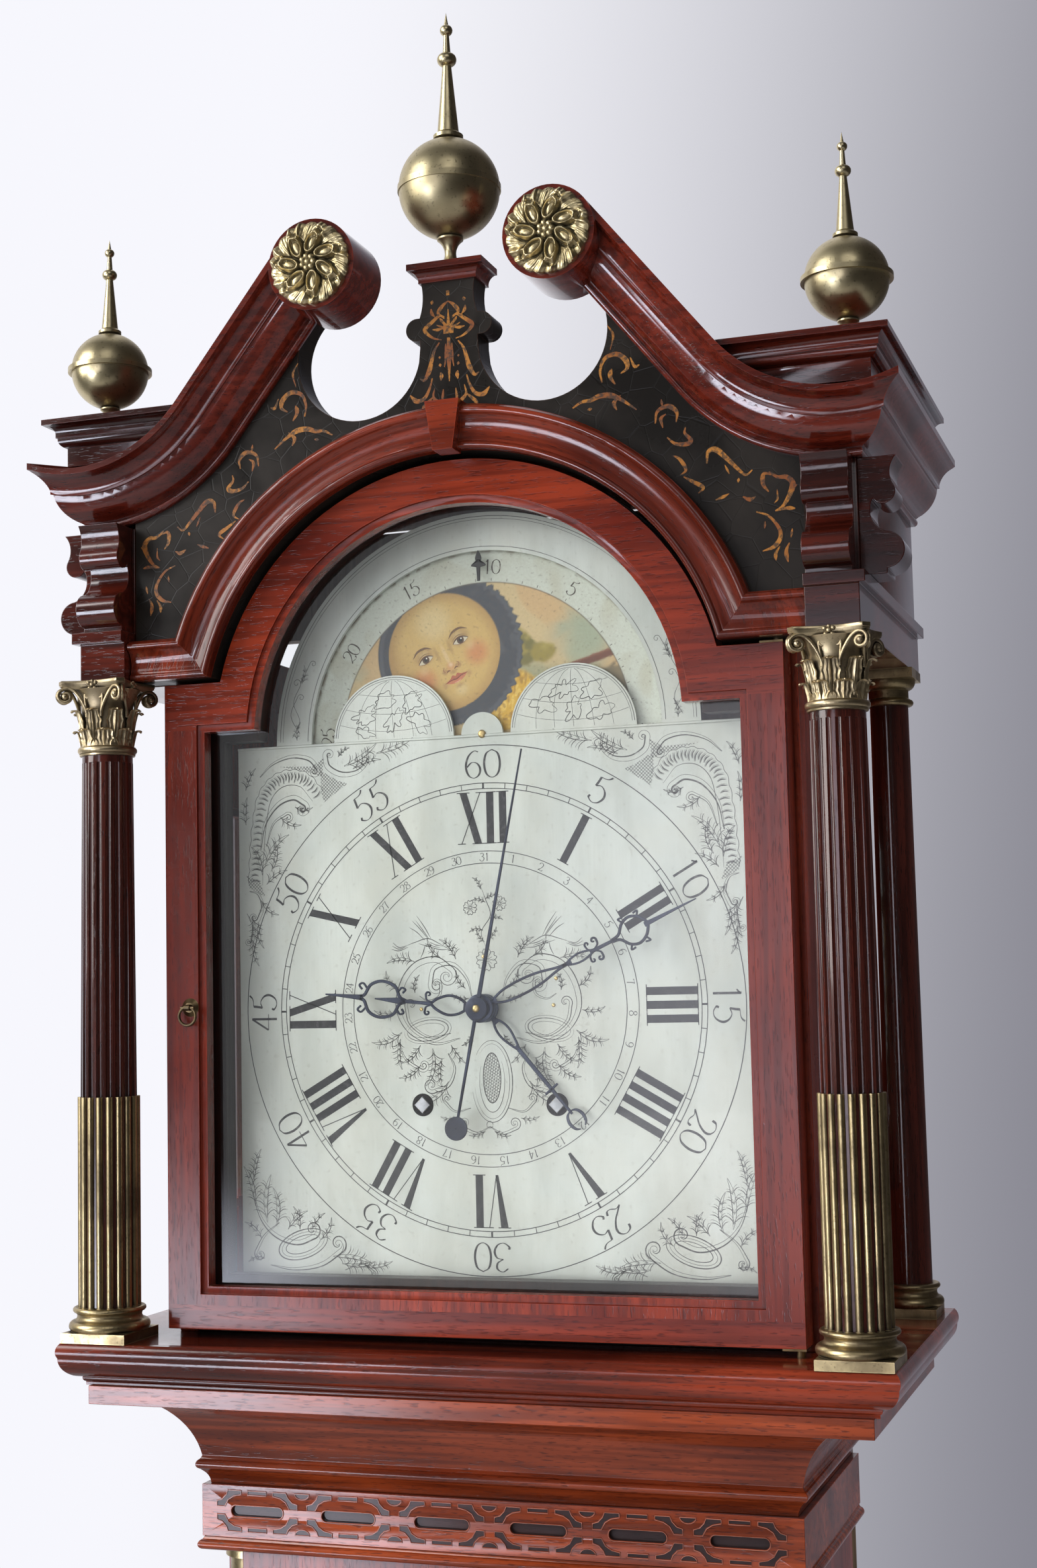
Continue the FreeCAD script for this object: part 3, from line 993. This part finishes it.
HANDS = (0.0, 0.0)
GREAT = (WINDING_X, WINDING_Z)
STRIKE = (-WINDING_X, WINDING_Z)
CENTRE = (GREAT[0] - GREAT_DISTANCE * math.sin(math.radians(41.8)),
          GREAT[1] + GREAT_DISTANCE * math.cos(math.radians(41.8)))
THIRD = beside(CENTRE, CENTRE_DISTANCE, HANDS, THIRD_DISTANCE, -1)
MINUTE_WHEEL = beside(CENTRE, MOTION_DISTANCE, HANDS, MOTION_DISTANCE, -1)
PIN_WHEEL = (STRIKE[0] - GREAT_DISTANCE * math.sin(math.radians(26)),
             STRIKE[1] + GREAT_DISTANCE * math.cos(math.radians(26)))
HAMMER = (-54.0, 34.0)
PIVOT = 1.0
PIN_CIRCLE_R = 13.5
GREAT_RIM, CENTRE_RIM, THIRD_RIM = 5.0, 4.0, 3.1      # from each wheel's pitch circle in to its spokes' windows


def between_plates(centre, r):
    body = rod_y(centre[0], centre[1], r, FRONT_PLATE + PLATE + 0.5, BACK_PLATE - 0.5)
    return fuse(body, rod_y(centre[0], centre[1], PIVOT, FRONT_PLATE, BACK_PLATE + PLATE))


def movement_frame():
    """Front and back plates, the four pillars, the back cock and the bell's stand."""
    pieces = []
    front = box(-PLATE_HALF, PLATE_HALF, FRONT_PLATE, FRONT_PLATE + PLATE, PLATE_BOTTOM, PLATE_TOP)
    back = box(-PLATE_HALF, PLATE_HALF, BACK_PLATE, BACK_PLATE + PLATE, PLATE_BOTTOM, PLATE_TOP)
    for centre in (THIRD, PIN_WHEEL, (0.0, ANCHOR_Z), HAMMER):
        front = front.cut(rod_y(centre[0], centre[1], PIVOT + RUNNING, 0, 200))
        back = back.cut(rod_y(centre[0], centre[1], PIVOT + RUNNING, 0, 200))
    for centre, r in ((GREAT, 4.0), (STRIKE, 4.0), (CENTRE, 1.8)):
        front = front.cut(rod_y(centre[0], centre[1], r + RUNNING, 0, 200))
        back = back.cut(rod_y(centre[0], centre[1], PIVOT * 2 + RUNNING, 0, 200))
    front = front.cut(rod_y(0, 0, SECONDS_ARBOR + RUNNING, 0, 200))
    back = back.cut(rod_y(0, 0, SECONDS_ARBOR + RUNNING, 0, 200))
    stud = rod_y(MINUTE_WHEEL[0], MINUTE_WHEEL[1], 1.6, HOUR_WHEEL_Y - 2, FRONT_PLATE)
    for x, z in ((-68, 66), (68, 66), (-69, -92), (69, -92)):
        pieces.append(fuse(rod_y(x, z, 4.5, FRONT_PLATE + PLATE, BACK_PLATE),
                           rod_y(x, z, 5.8, FRONT_PLATE + PLATE, FRONT_PLATE + PLATE + 4),
                           rod_y(x, z, 5.8, BACK_PLATE - 4, BACK_PLATE)))
    arch_z = ANCHOR_Z + 14
    cock = fuse(box(-16, 16, BACK_PLATE + PLATE, PENDULUM_Y + 6, arch_z, arch_z + 4),
                box(-16, -12, BACK_PLATE + PLATE, BACK_PLATE + PLATE + 3, arch_z - 10, arch_z),
                box(12, 16, BACK_PLATE + PLATE, BACK_PLATE + PLATE + 3, arch_z - 10, arch_z),
                box(-5, 5, PENDULUM_Y - 4, PENDULUM_Y + 4, arch_z - 5, arch_z))
    spring_half = 0.3
    cock = cock.cut(box(-spring_half, spring_half, PENDULUM_Y - 3, PENDULUM_Y + 3, 0, 100))
    spring = fuse(box(-spring_half, spring_half, PENDULUM_Y - 3, PENDULUM_Y + 3, ANCHOR_Z, arch_z + 4),
                  box(-2.5, 2.5, PENDULUM_Y - 3.5, PENDULUM_Y + 3.5, arch_z + 4, arch_z + 7))
    stand = fuse(box(-6, 6, BACK_PLATE + PLATE, BACK_PLATE + PLATE + 4, arch_z + 10, BELL_TOP + 6),
                 box(-6, 6, BELL_Y - 4, BACK_PLATE + PLATE + 4, BELL_TOP + 3, BELL_TOP + 6),
                 rod_z(0, BELL_Y, 2.5, BELL_TOP - 5, BELL_TOP + 3))
    save("movement_frame", fuse(front, stud), fuse(back, cock, stand), spring, *pieces)


BELL_TOP = 142.0
BELL_R = 41.0
BELL_Y = 62.0


def bell():
    low = BELL_TOP - 30
    outer = outline((0, BELL_TOP), (14, BELL_TOP - 1), ((32, BELL_TOP - 9), (BELL_R - 2, low + 6)), (BELL_R, low),
                    (BELL_R - 3, low), (BELL_R - 5, low + 6), ((29, BELL_TOP - 13), (13, BELL_TOP - 4.5)),
                    (0, BELL_TOP - 4))
    shape = turned(outer, 0, BELL_Y)
    save("bell", shape.cut(rod_z(0, BELL_Y, 2.5, low, BELL_TOP + 5)))


def barrel(centre):
    """Gut barrel on its winding arbor, whose square end shows in the dial."""
    x, z = centre
    drum = fuse(rod_y(x, z, BARREL_R, BARREL_FRONT, BARREL_BACK - 2),
                rod_y(x, z, FLANGE_R, BARREL_BACK - 2, BARREL_BACK),
                rod_y(x, z, 4.0, 8.0, BARREL_FRONT),
                rod_y(x, z, 2.0, BARREL_BACK, BACK_PLATE + PLATE))
    side = 2.6
    square = box(x - side, x + side, -1.5, 8.0, z - side, z + side)
    return fuse(drum, square)


def great_wheel(centre, phase):
    x, z = centre
    y0, y1 = BARREL_FRONT - 4.5, BARREL_FRONT - 1.5
    wheel = gear(GREAT_TEETH, GREAT_MODULE, centre, phase, y0, y1)
    wheel = crossed_out(wheel, centre, 20.0, GREAT_TEETH * GREAT_MODULE / 2 - GREAT_RIM, y0, y1)
    return wheel.cut(rod_y(x, z, 4.0 + RUNNING, 0, 200))


def going_train():
    great_phase = angle_to(GREAT, CENTRE)
    save("going_great_wheel", great_wheel(GREAT, great_phase))
    save("going_barrel", barrel(GREAT))

    pinion_phase = meshed(great_phase, GREAT_TEETH, CENTRE_PINION, GREAT, CENTRE)
    centre_phase = angle_to(CENTRE, THIRD)
    wheel_y = REAR_WHEEL_Y
    shaft = fuse(rod_y(CENTRE[0], CENTRE[1], 1.8, HOUR_WHEEL_Y + 4, BACK_PLATE - 0.5),
                 rod_y(CENTRE[0], CENTRE[1], PIVOT * 2, BACK_PLATE - 0.5, BACK_PLATE + PLATE))
    motion_phase = angle_to(CENTRE, MINUTE_WHEEL)
    motion_y = (36.0, 38.0)
    wheel = crossed_out(gear(CENTRE_TEETH, CENTRE_MODULE, CENTRE, centre_phase, wheel_y, wheel_y + 2),
                        CENTRE, 6.0, CENTRE_TEETH * CENTRE_MODULE / 2 - CENTRE_RIM, wheel_y, wheel_y + 2)
    save("centre_wheel", fuse(shaft, wheel,
                              gear(CENTRE_PINION, GREAT_MODULE, CENTRE, pinion_phase, 47.0, BARREL_FRONT, PINION_TOOTH),
                              gear(MOTION_TEETH, MOTION_MODULE, CENTRE, motion_phase, *motion_y)))

    third_pinion = meshed(centre_phase, CENTRE_TEETH, THIRD_PINION, CENTRE, THIRD)
    third_phase = angle_to(THIRD, HANDS)
    wheel = crossed_out(gear(THIRD_TEETH, THIRD_MODULE, THIRD, third_phase, 78.0, 80.0),
                        THIRD, 5.0, THIRD_TEETH * THIRD_MODULE / 2 - THIRD_RIM, 78.0, 80.0)
    save("third_wheel", fuse(between_plates(THIRD, 1.6), wheel,
                             gear(THIRD_PINION, CENTRE_MODULE, THIRD, third_pinion, wheel_y - 2, wheel_y + 4,
                                  PINION_TOOTH)))

    escape_pinion = meshed(third_phase, THIRD_TEETH, ESCAPE_PINION, THIRD, HANDS)
    escape = escape_wheel_shape()
    shaft = fuse(rod_y(0, 0, SECONDS_ARBOR, -20.4, BACK_PLATE + PLATE),
                 rod_y(0, 0, 1.5, FRONT_PLATE + PLATE + 0.5, BACK_PLATE - 0.5))
    save("escape_wheel", fuse(shaft, escape, gear(ESCAPE_PINION, THIRD_MODULE, HANDS, escape_pinion, 75.0, 83.0,
                                                  PINION_TOOTH)))

    minute_phase = meshed(motion_phase, MOTION_TEETH, MOTION_TEETH, CENTRE, MINUTE_WHEEL)
    cannon_phase = meshed(minute_phase, MOTION_TEETH, MOTION_TEETH, MINUTE_WHEEL, HANDS)
    hour_pinion_phase = angle_to(MINUTE_WHEEL, HANDS)
    minute = fuse(gear(MOTION_TEETH, MOTION_MODULE, MINUTE_WHEEL, minute_phase, *motion_y),
                  gear(MINUTE_PINION, HOUR_MODULE, MINUTE_WHEEL, hour_pinion_phase, HOUR_WHEEL_Y - 1, motion_y[0],
                       PINION_TOOTH))
    save("minute_wheel", minute.cut(rod_y(MINUTE_WHEEL[0], MINUTE_WHEEL[1], 1.6 + RUNNING, 0, 60)))
    cannon = gear(MOTION_TEETH, MOTION_MODULE, HANDS, cannon_phase, *motion_y)
    save("cannon_wheel", cannon.cut(rod_y(0, 0, CANNON_R, 0, 60)))
    hour_phase = meshed(hour_pinion_phase, MINUTE_PINION, HOUR_TEETH, MINUTE_WHEEL, HANDS)
    hour = gear(HOUR_TEETH, HOUR_MODULE, HANDS, hour_phase, HOUR_WHEEL_Y, HOUR_WHEEL_Y + 2)
    hour = crossed_out(hour, HANDS, 7.0, 23.5, HOUR_WHEEL_Y, HOUR_WHEEL_Y + 2)
    save("hour_wheel", hour.cut(rod_y(0, 0, CANNON_R + RUNNING, 0, 60)))


ESCAPE_R = 20.0
ESCAPE_TEETH = 30
ESCAPE_Y = (88.0, 89.6)


def escape_wheel_shape():
    """Thirty pointed teeth leaning clockwise, as a deadbeat escape wheel has."""
    y0, y1 = ESCAPE_Y
    points = []
    pitch = 2 * math.pi / ESCAPE_TEETH
    for index in range(ESCAPE_TEETH):
        a = -index * pitch
        points.append(Vector(ESCAPE_R * math.cos(a), y0, ESCAPE_R * math.sin(a)))
        points.append(Vector((ESCAPE_R - 3.6) * math.cos(a - 0.10 * pitch), y0,
                             (ESCAPE_R - 3.6) * math.sin(a - 0.10 * pitch)))
        points.append(Vector((ESCAPE_R - 3.6) * math.cos(a - 0.62 * pitch), y0,
                             (ESCAPE_R - 3.6) * math.sin(a - 0.62 * pitch)))
    wheel = Part.Face(Part.makePolygon(points + [points[0]])).extrude(Vector(0, y1 - y0, 0))
    return crossed_out(wheel, HANDS, 5.0, 13.5, y0, y1)


def anchor_and_crutch():
    """Pallet arbor with its anchor inside the plates and the crutch behind them."""
    y0, y1 = ESCAPE_Y
    reach, clear = ESCAPE_R + 1.6, 3.5
    arms = plate_y(outline((-16, 16), (-3, ANCHOR_Z + 3), (3, ANCHOR_Z + 3), (16, 16), (13, 13.5),
                           (2, ANCHOR_Z - 4), (-2, ANCHOR_Z - 4), (-13, 13.5)), y0, y1)
    arms = arms.cut(rod_y(0, 0, reach, y0 - 1, y1 + 1))
    shaft = fuse(rod_y(0, ANCHOR_Z, 1.8, FRONT_PLATE + PLATE + 0.5, BACK_PLATE - 0.5),
                 rod_y(0, ANCHOR_Z, PIVOT, FRONT_PLATE, BACK_PLATE + PLATE + 2))
    crutch_y = BACK_PLATE + PLATE + 2
    crutch = fuse(rod_y(0, ANCHOR_Z, 3.0, crutch_y, crutch_y + 2),
                  box(-1.5, 1.5, crutch_y, crutch_y + 2, -60, ANCHOR_Z),
                  box(-5, 5, crutch_y, crutch_y + 2, -62, -58),
                  box(-5, -clear, crutch_y + 2, PENDULUM_Y + 5, -62, -58),
                  box(clear, 5, crutch_y + 2, PENDULUM_Y + 5, -62, -58))
    save("anchor_and_crutch", fuse(arms, shaft, crutch))


def pendulum():
    """Steel rod hung from the suspension spring, brass-cased lenticular bob and rating nut."""
    bob_z = ANCHOR_Z - PENDULUM_LENGTH
    y = PENDULUM_Y
    rod = rod_z(0, y, 2.5, bob_z - BOB_R - 34, ANCHOR_Z - 0.3)
    half = BOB_THICK / 2
    lens = turned_y(outline((0, y - half), ((BOB_R * 0.62, y - half * 0.62), (BOB_R, y - 1)), (BOB_R, y + 1),
                            ((BOB_R * 0.62, y + half * 0.62), (0, y + half))), 0, bob_z)
    lens = lens.cut(rod_z(0, y, 2.5 + RUNNING, bob_z - BOB_R - 5, bob_z + BOB_R + 5))
    nut_z = bob_z - BOB_R - 8
    nut = rod_z(0, y, 9.0, nut_z, nut_z + 8).cut(rod_z(0, y, 2.5, nut_z - 1, nut_z + 9))
    save("pendulum_rod", rod)
    save("pendulum_bob", lens, nut)


def hammer():
    """Striking hammer: an arbor, a tail over the pin wheel and the head beside the bell."""
    x, z = HAMMER
    head_z = BELL_TOP - 30 + 4
    arbor_shape = between_plates(HAMMER, 2.0)
    shank_y = BELL_Y
    shank = box(x - 1.2, x + 1.2, shank_y - 1.5, shank_y + 1.5, z, head_z)
    head = rod_x(shank_y, head_z, 5.0, x - 6, -BELL_R - 1.3)
    tail = box(x - 1.5, x + 1.5, REAR_WHEEL_Y - 2.4, REAR_WHEEL_Y - 0.4, PIN_WHEEL[1] + PIN_CIRCLE_R + 3.5, z)
    save("hammer", fuse(arbor_shape, shank, head, tail))


def strike_train():
    phase = angle_to(STRIKE, PIN_WHEEL)
    save("strike_great_wheel", great_wheel(STRIKE, phase))
    save("strike_barrel", barrel(STRIKE))
    pinion = meshed(phase, GREAT_TEETH, CENTRE_PINION, STRIKE, PIN_WHEEL)
    y = REAR_WHEEL_Y
    wheel = crossed_out(gear(PIN_WHEEL_TEETH, PIN_WHEEL_MODULE, PIN_WHEEL, 0.0, y, y + 2), PIN_WHEEL, 5.0, 12.0,
                        y, y + 2)
    pins = []
    for index in range(8):
        a = 2 * math.pi * index / 8
        pins.append(rod_y(PIN_WHEEL[0] + PIN_CIRCLE_R * math.cos(a), PIN_WHEEL[1] + PIN_CIRCLE_R * math.sin(a),
                          1.0, y - 2.5, y))
    save("pin_wheel", fuse(between_plates(PIN_WHEEL, 1.6), wheel,
                           gear(CENTRE_PINION, GREAT_MODULE, PIN_WHEEL, pinion, 47.0, BARREL_FRONT, PINION_TOOTH),
                           *pins))


# ---------------------------------------------------------------- seat board, lines and weights
def line_places(side):
    """X of the barrel's side and of the seat board's side of one gut line."""
    if side > 0:
        return WINDING_X - BARREL_R - GUT_R, WINDING_X + PULLEY_R
    return -WINDING_X - BARREL_R - GUT_R, -WINDING_X + PULLEY_R


def seat_board():
    half = TRUNK_HALF - TRUNK_BOARD + CHEEK_BOARD
    z1 = PLATE_BOTTOM
    z0 = z1 - SEAT_BOARD
    board = box(-half, half, CHEEK_FRONT + 4, CHEEK_BACK - 2, z0, z1)
    for side in (1, -1):
        drop, tie = line_places(side)
        board = board.cut(box(drop - 4, drop + 4, WEIGHT_Y - 24, WEIGHT_Y + 24, z0 - 1, z1 + 1))
        board = board.cut(rod_z(tie, WEIGHT_Y, 2.5, z0 - 1, z1 + 1))
    save("seat_board", board)


def gut_line(side):
    """One line: from the barrel down round the weight's pulley and up to its knot on the seat board."""
    drop, tie = line_places(side)
    bottom = PULLEY_Z
    middle = (drop + tie) / 2
    r = (tie - drop) / 2
    top_drop = WINDING_Z
    top_tie = PLATE_BOTTOM + 3
    y = WEIGHT_Y
    path = Part.Wire([
        Part.LineSegment(Vector(drop, y, top_drop), Vector(drop, y, bottom)).toShape(),
        Part.Arc(Vector(drop, y, bottom), Vector(middle, y, bottom - r), Vector(tie, y, bottom)).toShape(),
        Part.LineSegment(Vector(tie, y, bottom), Vector(tie, y, top_tie)).toShape()])
    section = Part.Wire([Part.makeCircle(GUT_R, Vector(drop, y, top_drop), Z_AXIS)])
    tube = path.makePipeShell([section], True, False)
    return tube if tube.Solids else Part.Solid(tube)


def pulley_centre(side):
    drop, tie = line_places(side)
    return (drop + tie) / 2, (tie - drop) / 2


def weights():
    for side, name in ((1, "going"), (-1, "strike")):
        x, r = pulley_centre(side)
        y = WEIGHT_Y
        groove = r - GUT_R
        wheel = turned_y(outline((2.0 + RUNNING, y - 4), (groove - 2, y - 4), (groove + 1, y - 4), (groove + 1, y - 3),
                                 (groove - 0.4, y - 1.2), (groove - 0.4, y + 1.2), (groove + 1, y + 3),
                                 (groove + 1, y + 4), (2.0 + RUNNING, y + 4)), x, PULLEY_Z)
        save(name + "_pulley", wheel)
        axle = rod_y(x, PULLEY_Z, 2.0, y - 7, y + 7)
        low = PULLEY_Z - r - 14
        stirrup = fuse(box(x - 5, x + 5, y - 7, y - 5, low, PULLEY_Z + 5),
                       box(x - 5, x + 5, y + 5, y + 7, low, PULLEY_Z + 5),
                       box(x - 5, x + 5, y - 7, y + 7, low - 3, low), axle)
        body = turned(outline((0, low - 3), (3, low - 3), (3, low - 12), (WEIGHT_R - 6, low - 14),
                              ((WEIGHT_R - 1.5, low - 16), (WEIGHT_R, low - 20)),
                              (WEIGHT_R, low - 12 - WEIGHT_HEIGHT), (0, low - 12 - WEIGHT_HEIGHT)), x, y)
        save(name + "_weight", fuse(stirrup, body))
        save(name + "_line", gut_line(side))


# ---------------------------------------------------------------- build
os.makedirs("parts", exist_ok=True)
for build in (backboard, base_carcass, base_mouldings, bracket_feet, trunk_carcass, quarter_columns,
              throat_moulding, fret_frieze, trunk_door, hood_base, hood_sides, dial_mask, column_brasses,
              corinthian_capitals, entablature, consoles, swan_necks, tympanum, arch_moulding, rosettes,
              hood_roof, finials, hood_door, door_pull_ring, dial_plate, moon_disc, hands, movement_frame,
              bell, going_train, anchor_and_crutch, pendulum, hammer, strike_train, seat_board, weights):
    build()
